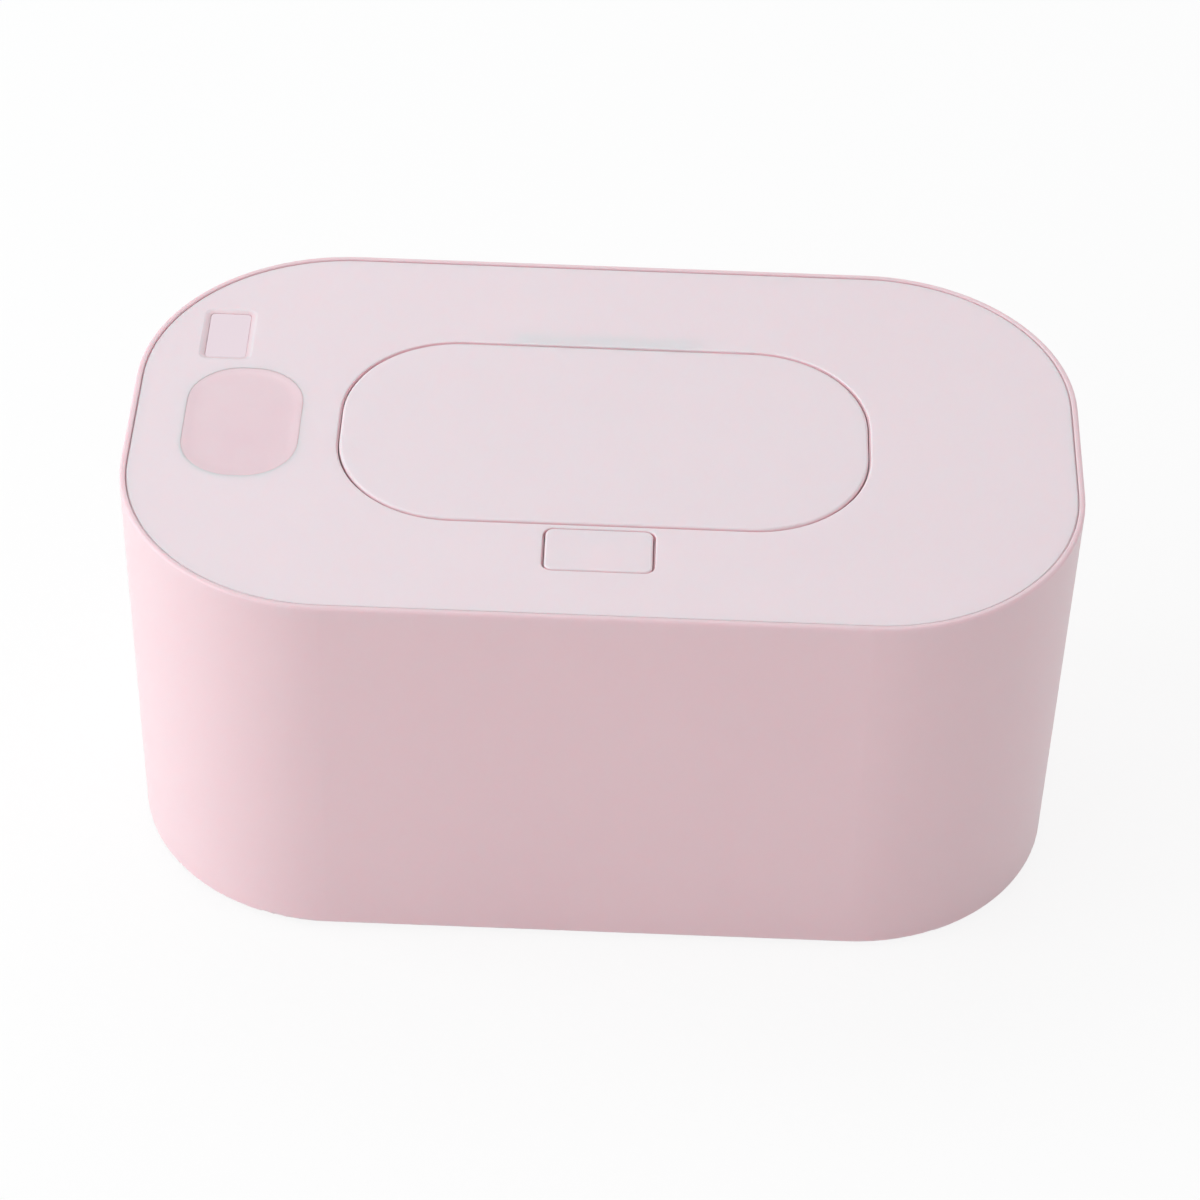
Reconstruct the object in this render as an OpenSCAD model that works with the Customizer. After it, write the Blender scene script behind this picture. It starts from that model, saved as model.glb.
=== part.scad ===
// Baby wipe warmer: an insulated tub with a lift-off heated cover, a flip lid
// over the dispensing slot, and a push button that lets the lid go.
// Millimetres. The origin is at the centre of the footprint, on the table.
// X runs along the width, Y to the back, Z up.

/* [Body] */
// Width over the rim
body_w = 205; // [200:1:250]
// Depth over the rim
body_d = 120; // [118:1:150]
// Height from the table to the rim
body_h = 94.6; // [80:0.1:130]
// Corner radius of the rim, seen from above
corner_r = 45.5; // [40:0.5:52]
// How far the walls draw in from rim to table, on each side
draft_in = 1.3; // [0.5:0.1:3]
// Wall thickness of the outer shell
shell_wall = 2.2; // [1.8:0.1:3]
// Thickness of the rim where the cover is let in
rim_lip = 1.3; // [1:0.1:1.7]
// Rounding of the rim's outer edge
rim_soft = 0.6; // [0.3:0.1:0.8]
// Rounding of the bottom edge
base_soft = 1; // [0.5:0.1:2]

/* [Feet and body screws] */
// Foot centre, in from the side of the rim
foot_in_x = 34.5; // [32:0.5:50]
// Foot centre, in from the front or back of the rim
foot_in_y = 26; // [24:0.5:35]
// Foot radius
foot_r = 6.5; // [5:0.1:8]
// How far a foot stands below the shell
foot_proud = 1; // [0.6:0.1:2]
// Depth of the pocket that a foot is glued into
foot_pocket = 1; // [0.6:0.1:1.2]

/* [Liner and insulation] */
// Wall thickness of the liner
liner_wall = 1.5; // [1.2:0.1:2]
// Thickness of the foam round the liner
foam_t = 3; // [2:0.1:5]
// Height left under the liner for foam and screw bosses
under_liner = 5.2; // [4.5:0.1:9]
// Inside radius between the liner's walls and floor
liner_fillet = 8; // [4:0.5:10]
// Thickness of the liner's flange
flange_t = 2; // [1.5:0.1:3]

/* [Cover] */
// Gap between the rim and the cover
cover_gap = 0.3; // [0.3:0.05:0.8]
// Depth of the step round the cover's edge
cover_step = 0.2; // [0.15:0.05:0.6]
// How far the cover lies below the rim
cover_drop = 0.2; // [0.2:0.1:1.2]
// Thickness of the top panel
panel_t = 2; // [1.8:0.1:2.4]
// Room between the panel and the cover's base
cover_room = 8.4; // [8.4:0.1:12]
// Thickness of the cover's base
base_t = 1.6; // [1.4:0.1:2.2]
// Gap between the cover's skirt and the shell's wall
skirt_gap = 0.6; // [0.6:0.1:1.4]
// Thickness of the cover's skirt
skirt_wall = 1.6; // [1.2:0.1:2]
// Height of the cover's base above the liner's flange
seal_stand = 2; // [1.5:0.1:3]
// Width of the seal ring
seal_w = 2.8; // [2:0.1:3]

/* [Flip lid] */
// Width of the flip lid
lid_w = 113.5; // [90:0.5:116]
// Depth of the flip lid
lid_d = 59.7; // [56:0.1:60]
// Corner radius of the flip lid
lid_r = 25; // [20:0.5:27]
// Gap round the flip lid
lid_gap = 0.5; // [0.45:0.05:0.7]
// Thickness of the lid's top
lid_skin = 1.8; // [1.6:0.1:2]
// Height of the lid's outer shell
lid_h = 4.6; // [4.2:0.1:5]
// Thickness of the lid's side wall
lid_wall = 1.6; // [1.2:0.1:1.8]
// Rounding of the lid's top edge
lid_soft = 0.7; // [0.5:0.1:0.8]
// Rounding of the panel's edge round the lid
open_soft = 0.3; // [0.2:0.05:0.5]
// Depth of the ledge in the gap round the lid
ledge_deep = 0.5; // [0.45:0.05:0.6]

/* [Hinge] */
// Radius of the hinge pin
pin_r = 0.6; // [0.5:0.05:0.65]
// Running clearance of the pin in the lid's knuckles
pin_play = 0.05; // [0.02:0.01:0.1]
// Distance of the pin behind the lid's back edge
hinge_back = 2.5; // [2.4:0.1:2.8]
// Depth of the pin below the panel's top
hinge_deep = 2; // [1.9:0.1:2.1]
// Radius of the lid's knuckles
knuckle_r = 1.1; // [1:0.05:1.15]

/* [Button and latch] */
// Width of the release button
button_w = 22.6; // [18:0.1:26]
// Depth of the release button
button_d = 13.1; // [12.4:0.1:13.4]
// Corner radius of the release button
button_r = 1.8; // [1.5:0.1:4]
// Width of the panel strip between the button and the lid opening
button_strip = 1.1; // [1:0.1:1.6]
// Travel of the button, and of the latch that it pushes
press = 1.5; // [1.2:0.1:1.5]

/* [Dispensing slot] */
// Depth of the slot in the soft guide
slot_d = 19; // [14:1:20]
// Width over the guide's flange, inside the collar
guide_w = 84; // [78:1:88]
// Depth over the guide's flange, inside the collar
guide_d = 34; // [32:0.5:34]

/* [Touch pad and display] */
// Width of the touch pad
pad_w = 25; // [18:0.5:27]
// Depth of the touch pad
pad_d = 36.5; // [24:0.5:38]
// Corner radius of the touch pad
pad_r = 11.5; // [6:0.5:12]
// Centre of the touch pad, in from the left of the rim
pad_in = 24.5; // [20:0.5:26]
// Width of the display window
window_w = 9; // [8:0.5:10]
// Depth of the display window
window_d = 15.5; // [12:0.5:16]
// Width of the slope round the display window
window_bevel = 1.3; // [1:0.1:2]
// Centre of the display window, in from the left of the rim
window_in = 18.5; // [18:0.5:24]
// Centre of the display window, in from the back of the rim
window_in_y = 30; // [29:0.5:36]

/* [Heater] */
// Width of the heating plate
plate_w = 150; // [130:1:160]
// Depth of the heating plate
plate_d = 80; // [70:1:84]
// Thickness of the heating plate
plate_t = 1.5; // [1:0.1:2]
// Thickness of the insulation above the heater
heater_pad_t = 1; // [0.8:0.1:1.5]
// Thickness of the heater film
film_t = 0.3; // [0.2:0.05:0.5]

/* [Hidden] */
$fn = 96;

// Colours
pink = [0.92, 0.85, 0.87];
deep_pink = [0.93, 0.81, 0.84];
white = [0.95, 0.95, 0.94];
foam_grey = [0.82, 0.83, 0.84];
rubber_grey = [0.55, 0.55, 0.56];
steel = [0.72, 0.73, 0.75];
board_green = [0.12, 0.42, 0.28];
chip_black = [0.1, 0.1, 0.11];

// Heights
z_under_shell = foot_proud;
shell_floor = shell_wall;
z_shell_floor = z_under_shell + shell_floor;
z_liner_under = z_shell_floor + under_liner;
z_liner_floor = z_liner_under + liner_wall;
z_panel = body_h - cover_drop;
z_under = z_panel - panel_t;
z_well = z_under - cover_room;
z_base = z_well - base_t;
z_flange = z_base - seal_stand;
ledge_gap = 0.2;
z_ledge = z_under - ledge_gap;

// Insets, measured inwards from the rim's outer face
loose = 0.2;
cover_in = rim_lip + cover_gap;
skirt_in = shell_wall + skirt_gap;
lean = draft_in / body_h;
function drift(z) = lean * (body_h - z);
function shell_in(z) = drift(z) + shell_wall;
function liner_out(z) = shell_in(z) + foam_t + 2 * loose;
function liner_in(z) = liner_out(z) + liner_wall;
base_r = corner_r - skirt_in;
seal_in = skirt_in + 1.2;
seal_groove = 0.6;

// Screws
screw_r = 1.2;
screw_play = 0.05;
screw_clear = 1.5;
head_r = 2.6;
head_h = 1.5;
boss_r = 3.2;
foot_x = body_w / 2 - foot_in_x;
foot_y = body_d / 2 - foot_in_y;
head_pocket = head_h + 0.2;
web_t = 1.5;
z_foot_top = z_under_shell + foot_pocket;
z_web = z_foot_top + head_pocket;
z_boss_seat = z_web + web_t;
shell_boss_r = 4.5;
pilot_skin = 0.7;
cover_screw_x = body_w / 2 - 36.5;
cover_screw_y = body_d / 2 - 16;
cover_pilot = 6;

// Flip lid, its opening and the well under it
edge_e = 0.01;
open_w = lid_w + 2 * lid_gap;
open_d = lid_d + 2 * lid_gap;
open_r = lid_r + lid_gap;
z_ledge_top = z_panel - ledge_deep;
side_slit = 0.15;
front_slit = 0.3;
back_slit = 0.25;
slit_r = lid_r - 0.2;
lid_brim = 0.9;
lid_relief = 0.3;
cover_slit = 0.12;
z_skin = z_panel - lid_skin;
z_lid_under = z_panel - lid_h;
hinge_y = lid_d / 2 + hinge_back;
hinge_z = z_panel - hinge_deep;
well_side = 0.4;
well_front = open_d / 2 - 0.1;
well_back = open_d / 2 + 0.8;
well_hx = open_w / 2 + well_side;
well_hy = (well_front + well_back) / 2;
well_y = (well_back - well_front) / 2;
well_r = lid_r + 0.4;
well_wall = 1;
z_well_top = z_under - 0.1;
knuckle_x = 14;
knuckle_w = 5;
ear_x = 20.2;
ear_w = 6;
ear_half = 1.4;
ear_low = 1.6;
pin_half = ear_x + ear_w - 1.2;
pocket_up = knuckle_r + 0.1;
pocket_back = knuckle_r + 0.4;
sweep_gap = 0.25;
edge_reach = norm([hinge_back - lid_gap - open_soft, hinge_deep - open_soft]) + open_soft;
sweep_r = edge_reach + sweep_gap;
lip_half = lid_w / 2 - lid_r - 1;
lip_reach = sqrt(pow(sweep_r - 0.1, 2) - pow(hinge_deep - ledge_deep, 2));
pin_hold = 0.02;
arm_join = 0.3;
lid_coil_wire = 0.2;
lid_coil_r = pin_r + lid_coil_wire + 0.08;
lid_coil_turns = 11;
lid_coil_half = knuckle_x - 2;
arm_top = 2.95;
arm_low = 4.5;
arm_neck = 0.35;
bay_half = ear_x + ear_w + 1.3;
bay_y = hinge_y + pocket_back + 0.1;
inner_gap = 0.1;
inner_t = 1.4;

// Collar, guide and lid seal
collar_gap = 0.2;
collar_wall = 1.5;
collar_h = 3;
collar_hx = guide_w / 2 + collar_gap;
collar_hy = guide_d / 2 + collar_gap;
lid_seal_w = 2.2;
lid_seal_out = (lid_seal_w - collar_wall) / 2;
lid_seal_gap = 0.05;
z_collar = z_well + collar_h;
guide_flange = 1.2;
guide_neck = 4.2;
guide_soft = 1;
guide_below = 3.1;

// Button and latch
button_front_gap = 0.25;
button_side_gap = 0.55;
button_back_gap = 0.15;
button_back = -(open_d / 2 + button_strip + button_back_gap);
button_front = button_back - button_d;
button_y = (button_back + button_front) / 2;
button_skin = 1.6;
button_wall = 1.2;
button_soft = 0.5;
button_ledge = 0.9;
button_ledge_in = 0.05;
button_slit = 0.2;
hole_soft = 0.25;
z_button_under = z_panel - 3.5;
catch_half = 4;
slider_half = 6;
z_slider = z_well + 0.3;
slider_h = 4;
z_slider_top = z_slider + slider_h;
nose_t = 1.4;
z_nose = z_slider_top - nose_t;
nose_tip = -(lid_d / 2 - 1.15);
slider_back = -(open_d / 2 + 1.3);
slider_front = slider_back - 14.4;
slope_y = slider_front + 5;
slope_gap = 0.1;
wedge_half = 3.5;
wedge_back = slider_back - 4.4;
wedge_low = z_well + 2;
z_slope_top = z_slider_top + 2.6;
window_back = slider_back - 2.4;
catch_play = 0.2;
catch_front = nose_tip - 0.8;
catch_back = catch_front + 2.5;
spring_wall_t = 1.5;
spring_wall_y = max(slider_front - 7.7, spring_wall_t + loose + skirt_in + skirt_wall - body_d / 2);
peg_r = 1;
peg_l = 2.5;
z_latch_axis = z_slider + slider_h / 2;

// Touch pad and display
pad_x = -(body_w / 2 - pad_in);
pad_sunk = 0.25;
pad_t = 0.75;
window_x = -(body_w / 2 - window_in);
window_y = body_d / 2 - window_in_y;
window_r = 1;
window_sunk = 0.45;
pad_slope = 2;
window_t = 1.9;
fit = 0.06;

// Boards
board_t = 1.2;
board_gap = 3.2;
z_board_top = z_under - board_gap;
z_board = z_board_top - board_t;
board_left = -(body_w / 2 - 9.5);
board_right = -(open_w / 2 + 4.4);
board_front = -22;
board_back = window_y + 9;
board_in = skirt_in + skirt_wall + 1;
display_w = 7.6;
display_d = 12.5;
chip_w = 8;
chip_d = 5;
chip_h = 1.6;
buzzer_r = 3.5;
buzzer_h = 2.6;
switch_w = 6.2;
switch_d = 6.6;
switch_h = 2.3;
lead_socket_w = 5;
lead_socket_d = 8;
lead_socket_h = 2.9;
board_screws_at = [[board_right - 3.5, board_back - 4], [board_right - 3.5, board_front + 4],
                   [board_left + 5, board_front + 4]];
post_r = 2.1;
small_r = 0.9;
small_head = 1.9;
inlet_z = z_well + 3.6;
inlet_board_t = 1.2;
socket_w = 8.94;
socket_h = 3.2;
socket_l = 7.3;
socket_skin = 0.3;
socket_mouth = body_d / 2 - skirt_in - 0.2;
z_socket = inlet_z - socket_h / 2;
port_w = 14;
port_h = 7.2;
lead_r = 0.7;
lead_in = 2.5;
z_lead_hole = z_board_top + 1.5;
socket_at = [board_right - 6.5, board_back - 16];
inlet_board_w = 20;
inlet_board_d = 12;

// Heater
z_pad = z_base - heater_pad_t;
z_film = z_pad - film_t;
z_plate = z_film - plate_t;
plate_r = 25;
plate_slot_hx = guide_w / 2 + 2;
plate_slot_hy = guide_d / 2 + 2;
heater_screw_x = plate_w / 2 - 9;
heater_screw_y = plate_d / 2 - 14;
heater_boss_h = 3.6;
fuse_x = -(open_w / 2 + 9);
fuse_r = 1.5;
fuse_l = 9;
bead_r = 1.3;
sensor_y = 12;
leads_y = -14;
lead_step = 3;

// --- shared shapes ---------------------------------------------------------

// Rectangle with round corners, by its half sizes
module plan(hx, hy, r) {
    square([2 * hx, 2 * (hy - r)], center = true);
    square([2 * (hx - r), 2 * hy], center = true);
    for (sx = [-1, 1], sy = [-1, 1]) translate([sx * (hx - r), sy * (hy - r)]) circle(r);
}

// Slot with round ends, by its half sizes
module slot(hx, hy) {
    square([2 * (hx - hy), 2 * hy], center = true);
    for (sx = [-1, 1]) translate([sx * (hx - hy), 0]) circle(hy);
}

// The rim's outline, drawn in by an inset
module rim_plan(inset) {
    plan(body_w / 2 - inset, body_d / 2 - inset, corner_r - inset);
}

// Sweeps a section round a rounded rectangle. The section's X is the distance
// out from the corner's centre, and its Y is the height.
module swept(hx, hy, r) {
    for (sx = [0, 1], sy = [0, 1])
        mirror([sx, 0, 0]) mirror([0, sy, 0])
            translate([hx - r, hy - r, 0]) rotate_extrude(angle = 90) children();
    if (hy > r)
        for (sx = [0, 1])
            mirror([sx, 0, 0]) translate([hx - r, hy - r, 0])
                rotate([90, 0, 0]) linear_extrude(2 * (hy - r)) children();
    if (hx > r)
        for (sy = [0, 1])
            mirror([0, sy, 0]) translate([-(hx - r), hy - r, 0])
                rotate([90, 0, 90]) linear_extrude(2 * (hx - r)) children();
}

// Fills the middle of a swept section between two heights
module core(hx, hy, r, z0, z1) {
    translate([-(hx - r), -(hy - r), z0]) cube([2 * (hx - r), 2 * (hy - r), z1 - z0]);
}

// The piece between a section's corner at p and a circle that touches both of its
// sides. u and v point towards the circle, lean is the wall's slope, and over is
// how far the piece reaches past both sides.
module corner_piece(p, r, u, v, lean, over) {
    slant = sqrt(1 + lean * lean);
    c = [p[0] + v * r * lean + u * r * slant, p[1] + v * r];
    touch = [c[0] - u * r / slant, c[1] + u * r * lean / slant];
    difference() {
        polygon([[c[0], p[1]], [c[0], p[1] - v * over], p - [u * over, v * over],
                 touch - [u * over, 0], touch, c]);
        translate(c) circle(r);
    }
}

// Cuts a section's corner to a radius. u and v point into the material.
module soften(p, r, u, v, lean = 0) {
    corner_piece(p, r, u, v, lean, edge_e);
}

// Fills a section's inside corner to a radius. u and v point to the open side.
module fill_in(p, r, u, v, lean = 0) {
    corner_piece(p, r, u, v, lean, 0.3);
}

module at_corners(x, y) {
    for (sx = [-1, 1], sy = [-1, 1]) translate([sx * x, sy * y, 0]) children();
}

module rod(r, z0, z1) {
    translate([0, 0, z0]) cylinder(r = r, h = z1 - z0);
}

// Pan-head screw that goes up from z, with its head below z
module screw(r, hr, hh, z, l) {
    rod(r, z - edge_e, z + l);
    rod(hr, z - hh, z);
}

// Wire along a list of points, with round joints
module wire(points, r) {
    for (i = [0 : len(points) - 2]) {
        run = points[i + 1] - points[i];
        l = norm(run);
        translate(points[i])
            rotate([0, acos(run[2] / l), atan2(run[1], run[0])]) cylinder(r = r, h = l);
        if (i > 0) translate(points[i]) sphere(r);
    }
}

// Closed tube of six sides along a level route, with its corners cut to curves
function eased(q) = [q[0], for (i = [0 : len(q) - 2])
    each [0.75 * q[i] + 0.25 * q[i + 1], 0.25 * q[i] + 0.75 * q[i + 1]], q[len(q) - 1]];
module lead(route, r) {
    q = eased(eased(route));
    n = len(q);
    rings = [for (i = [0 : n - 1], k = [0 : coil_sides - 1])
        let (run = q[min(i + 1, n - 1)] - q[max(i - 1, 0)], d = run / norm(run),
             side = cross(d, [0, 0, 1]) / norm(cross(d, [0, 0, 1])), up = cross(side, d),
             a = 360 * k / coil_sides)
        q[i] + r * (cos(a) * side + sin(a) * up)];
    tube(rings, n - 1);
}

// Closed tube of six sides along the z axis of a helix: turns, mean radii at both
// ends, height, wire radius
coil_sides = 6;
coil_rings = 16;
function helix(t, turns, r0, r1, h) =
    [(r0 + (r1 - r0) * t) * cos(360 * turns * t), (r0 + (r1 - r0) * t) * sin(360 * turns * t), h * t];
module coil(turns, r0, r1, h, wire_r) {
    count = ceil(turns * coil_rings);
    rings = [for (i = [0 : count], k = [0 : coil_sides - 1])
        let (t = i / count, a = 360 * turns * t, b = 360 * k / coil_sides, c = helix(t, turns, r0, r1, h))
        c + [wire_r * cos(b) * cos(a), wire_r * cos(b) * sin(a), wire_r * sin(b)]];
    tube(rings, count);
}

// Skin over count + 1 rings of points, closed at both ends
module tube(rings, count) {
    sides = [for (i = [0 : count - 1], k = [0 : coil_sides - 1])
        let (a = i * coil_sides + k, b = i * coil_sides + (k + 1) % coil_sides)
        each [[a, b, b + coil_sides], [a, b + coil_sides, a + coil_sides]]];
    last = count * coil_sides;
    ends = [for (k = [1 : coil_sides - 2]) each [[0, k + 1, k], [last, last + k, last + k + 1]]];
    polyhedron(rings, concat(sides, ends));
}

// --- body ------------------------------------------------------------------

module shell_section() {
    difference() {
        polygon([[0, z_under_shell],
                 [corner_r - drift(z_under_shell), z_under_shell],
                 [corner_r, body_h],
                 [corner_r - rim_lip, body_h],
                 [corner_r - rim_lip, z_ledge],
                 [corner_r - shell_in(z_ledge), z_ledge],
                 [corner_r - shell_in(z_shell_floor), z_shell_floor],
                 [0, z_shell_floor]]);
        soften([corner_r, body_h], rim_soft, -1, -1, lean);
        soften([corner_r - rim_lip, body_h], rim_soft / 2, 1, -1);
        soften([corner_r - drift(z_under_shell), z_under_shell], base_soft, -1, 1, lean);
    }
}

module outer_shell() {
    color(pink) difference() {
        union() {
            swept(body_w / 2, body_d / 2, corner_r) shell_section();
            core(body_w / 2, body_d / 2, corner_r, z_under_shell, z_shell_floor);
            at_corners(foot_x, foot_y) rod(shell_boss_r, z_shell_floor, z_boss_seat);
        }
        at_corners(foot_x, foot_y) {
            rod(foot_r + 2 * fit, z_under_shell - 1, z_foot_top);
            rod(head_r + loose, z_foot_top - edge_e, z_web);
            rod(screw_clear, z_web - edge_e, z_boss_seat + 1);
        }
        // Window for the power plug
        translate([-port_w / 2, body_d / 2 - 10, inlet_z - port_h / 2]) cube([port_w, 20, port_h]);
    }
}

module inner_liner() {
    flange_in = shell_in(z_flange - flange_t) + loose;
    color(white) difference() {
        union() {
            swept(body_w / 2, body_d / 2, corner_r) difference() {
                union() {
                    polygon([[0, z_liner_under],
                             [corner_r - liner_out(z_liner_under), z_liner_under],
                             [corner_r - liner_out(z_flange - flange_t), z_flange - flange_t],
                             [corner_r - flange_in, z_flange - flange_t],
                             [corner_r - flange_in, z_flange],
                             [corner_r - liner_in(z_flange), z_flange],
                             [corner_r - liner_in(z_liner_floor), z_liner_floor],
                             [0, z_liner_floor]]);
                    fill_in([corner_r - liner_in(z_liner_floor), z_liner_floor],
                            liner_fillet, -1, 1, lean);
                }
                soften([corner_r - liner_out(z_liner_under), z_liner_under],
                       liner_fillet + liner_wall, -1, 1, lean);
                soften([corner_r - liner_in(z_flange), z_flange], liner_wall / 2, 1, -1, lean);
            }
            core(body_w / 2, body_d / 2, corner_r, z_liner_under, z_liner_floor);
            at_corners(foot_x, foot_y) rod(boss_r, z_boss_seat, z_liner_under + edge_e);
        }
        at_corners(foot_x, foot_y)
            rod(screw_r + screw_play, z_boss_seat - 1, z_liner_floor - pilot_skin);
    }
}

module insulation_wrap() {
    z0 = z_shell_floor + 2 * loose;
    z1 = z_flange - flange_t - 2 * loose;
    color(foam_grey) swept(body_w / 2, body_d / 2, corner_r)
        polygon([[corner_r - shell_in(z0) - loose - foam_t, z0],
                 [corner_r - shell_in(z0) - loose, z0],
                 [corner_r - shell_in(z1) - loose, z1],
                 [corner_r - shell_in(z1) - loose - foam_t, z1]]);
}

module insulation_pad() {
    inset = liner_out(z_liner_under) + liner_wall + liner_fillet + 1;
    color(foam_grey) difference() {
        translate([0, 0, z_shell_floor + loose])
            linear_extrude(under_liner - 2 * loose) rim_plan(inset);
        at_corners(foot_x, foot_y) rod(shell_boss_r + loose, z_shell_floor, z_liner_under);
    }
}

module rubber_feet() {
    color(rubber_grey) at_corners(foot_x, foot_y) rotate_extrude() difference() {
        square([foot_r, z_foot_top]);
        soften([foot_r, 0], 0.5, -1, 1);
    }
}

module body_screws() {
    color(steel) at_corners(foot_x, foot_y)
        screw(screw_r, head_r, head_h, z_web, z_liner_floor - pilot_skin - z_web - 0.3);
}

// --- cover -----------------------------------------------------------------

module cover_panel() {
    color(pink) difference() {
        union() {
            swept(body_w / 2, body_d / 2, corner_r) difference() {
                polygon([[0, z_under],
                         [corner_r - skirt_in - skirt_wall, z_under],
                         [corner_r - skirt_in - skirt_wall, z_well],
                         [corner_r - skirt_in, z_well],
                         [corner_r - skirt_in, z_under],
                         [corner_r - rim_lip - cover_slit, z_under],
                         [corner_r - rim_lip - cover_slit, z_panel - cover_step],
                         [corner_r - cover_in, z_panel - cover_step],
                         [corner_r - cover_in, z_panel],
                         [0, z_panel]]);
                soften([corner_r - cover_in, z_panel], cover_step - 2 * edge_e, -1, -1);
            }
            core(body_w / 2, body_d / 2, corner_r, z_under, z_panel);
            at_corners(cover_screw_x, cover_screw_y) rod(boss_r, z_well, z_under + edge_e);
            for (p = board_screws_at) translate(p) rod(post_r, z_board_top, z_under + edge_e);
            // Ears that carry the ends of the hinge pin
            for (s = [0, 1]) mirror([s, 0, 0])
                translate([ear_x, hinge_y - ear_half, hinge_z - ear_low])
                    cube([ear_w, 2 * ear_half, ear_low + z_under - hinge_z + edge_e]);
            // Keeps the latch slider down
            translate([-slider_half, button_front - 1.6, z_slider_top + loose])
                cube([2 * slider_half, 1, z_under - z_slider_top]);
        }
        lid_hole();
        // Pocket for the lid's knuckles, under a thin skin
        translate([-ear_x, open_d / 2 - 1, z_under - 3])
            cube([2 * ear_x, bay_y - open_d / 2 + 1, hinge_z + pocket_up - z_under + 3]);
        hinge_bore(pin_r + pin_hold);
        button_hole();
        translate([pad_x, 0, z_panel - pad_sunk - pad_t]) linear_extrude(2)
            plan(pad_w / 2 + fit, pad_d / 2 + fit, pad_r + fit);
        translate([window_x, window_y, z_under - 1]) linear_extrude(panel_t + 2)
            plan(window_w / 2 + fit, window_d / 2 + fit, window_r + fit);
        translate([window_x, window_y, 0]) window_slope();
        at_corners(cover_screw_x, cover_screw_y)
            rod(screw_r + screw_play, z_well - 1, z_well + cover_pilot);
        for (p = board_screws_at) translate(p)
            rod(small_r + screw_play, z_board_top - 1, z_under);
        // Slot in the skirt for the power inlet
        translate([0, body_d / 2 - 1, inlet_z]) rotate([90, 0, 0]) linear_extrude(10)
            slot(socket_w / 2 + loose, socket_h / 2 + loose);
    }
}

// Opening in the panel from z0 up, with a soft edge
module soft_hole(hx, hy, r, soft, z0) {
    high = z_panel + 1;
    swept(hx, hy, r) {
        translate([0, z0]) square([r, high - z0]);
        translate([r - edge_e, z_panel - soft]) difference() {
            square([soft + edge_e, soft + 1]);
            translate([soft + edge_e, 0]) circle(soft);
        }
    }
    core(hx, hy, r, z0, high);
}

// The opening for the flip lid, with a soft edge, a ledge in the gap round the
// lid, and a lip that closes the gap at the back
module lid_hole() {
    front = lid_d / 2 + front_slit;
    back = lid_d / 2 + back_slit;
    difference() {
        union() {
            soft_hole(open_w / 2, open_d / 2, open_r, open_soft, z_ledge_top);
            translate([0, (back - front) / 2, z_under - 1])
                linear_extrude(z_ledge_top - z_under + 1 + edge_e)
                    plan(lid_w / 2 + side_slit, (back + front) / 2, slit_r);
        }
        translate([-lip_half, hinge_y - lip_reach, hinge_z + pocket_up])
            cube([2 * lip_half, lip_reach, z_ledge_top - hinge_z - pocket_up]);
    }
}

// Slope that leads down to the display window
module window_slope() {
    r = window_r + fit;
    wide = window_bevel;
    swept(window_w / 2 + fit + wide, window_d / 2 + fit + wide, r + wide)
        polygon([[r - edge_e, z_panel - window_sunk], [r, z_panel - window_sunk + 0.05],
                 [r + wide, z_panel], [r + wide, z_panel + 1], [r - edge_e, z_panel + 1]]);
}

// The button's hole, with a ledge in the gap round the button
module button_hole() {
    hy = (button_d + button_front_gap + button_back_gap) / 2;
    z_step = z_panel - button_ledge;
    translate([0, button_y + (button_back_gap - button_front_gap) / 2, 0]) {
        soft_hole(button_w / 2 + button_side_gap, hy, button_r + button_side_gap, hole_soft, z_step);
        translate([0, 0, z_under - 1]) linear_extrude(z_step - z_under + 1 + edge_e)
            plan(button_w / 2 + button_slit, hy - button_ledge_in, button_r + button_slit);
    }
}

module cover_base() {
    color(white) difference() {
        union() {
            translate([0, 0, z_base]) linear_extrude(base_t) rim_plan(skirt_in);
            well_ring();
            translate([0, 0, z_well - edge_e]) linear_extrude(collar_h + edge_e)
                slot(collar_hx + collar_wall, collar_hy + collar_wall);
            at_corners(heater_screw_x, heater_screw_y)
                rod(boss_r - 0.4, z_well - edge_e, z_well + heater_boss_h);
            latch_rails();
            inlet_posts();
        }
        translate([0, 0, z_well]) linear_extrude(collar_h + 1) slot(collar_hx, collar_hy);
        translate([0, 0, z_base - 1]) linear_extrude(base_t + 2)
            slot(collar_hx - guide_neck, collar_hy - guide_neck);
        translate([0, 0, z_base - 1]) linear_extrude(1 + seal_groove) difference() {
            rim_plan(seal_in - fit);
            rim_plan(seal_in + seal_w + fit);
        }
        at_corners(cover_screw_x, cover_screw_y) rod(screw_clear, z_base - 1, z_well + 1);
        at_corners(heater_screw_x, heater_screw_y)
            rod(screw_r + screw_play, z_base - 1, z_well + heater_boss_h - pilot_skin);
        // Openings for the fuse, the thermistor and the heater's leads
        translate([fuse_x - fuse_r - loose, -fuse_l / 2 - 2, z_base - 1])
            cube([2 * (fuse_r + loose), fuse_l + 4, base_t + 2]);
        translate([fuse_x, sensor_y, 0]) rod(bead_r + loose, z_base - 1, z_well + 1);
        for (i = [0, 1]) translate([fuse_x - i * lead_step, leads_y, 0])
            rod(lead_r + loose, z_base - 1, z_well + 1);
    }
}

// Outline of the well, with a bay at the back for the hinge
module well_plan(out) {
    translate([0, well_y]) plan(well_hx + out, well_hy + out, well_r + out);
    translate([-bay_half - out, 0]) square([2 * (bay_half + out), bay_y + out]);
}

// Wall round the well, with a slot for the latch's nose
module well_ring() {
    difference() {
        translate([0, 0, z_well - edge_e]) linear_extrude(z_well_top - z_well + edge_e)
            difference() {
                well_plan(well_wall);
                well_plan(0);
            }
        translate([-slider_half - 0.3, -well_front - 2, z_nose - 0.3])
            cube([2 * slider_half + 0.6, 4, nose_t + 0.6]);
    }
}

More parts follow.
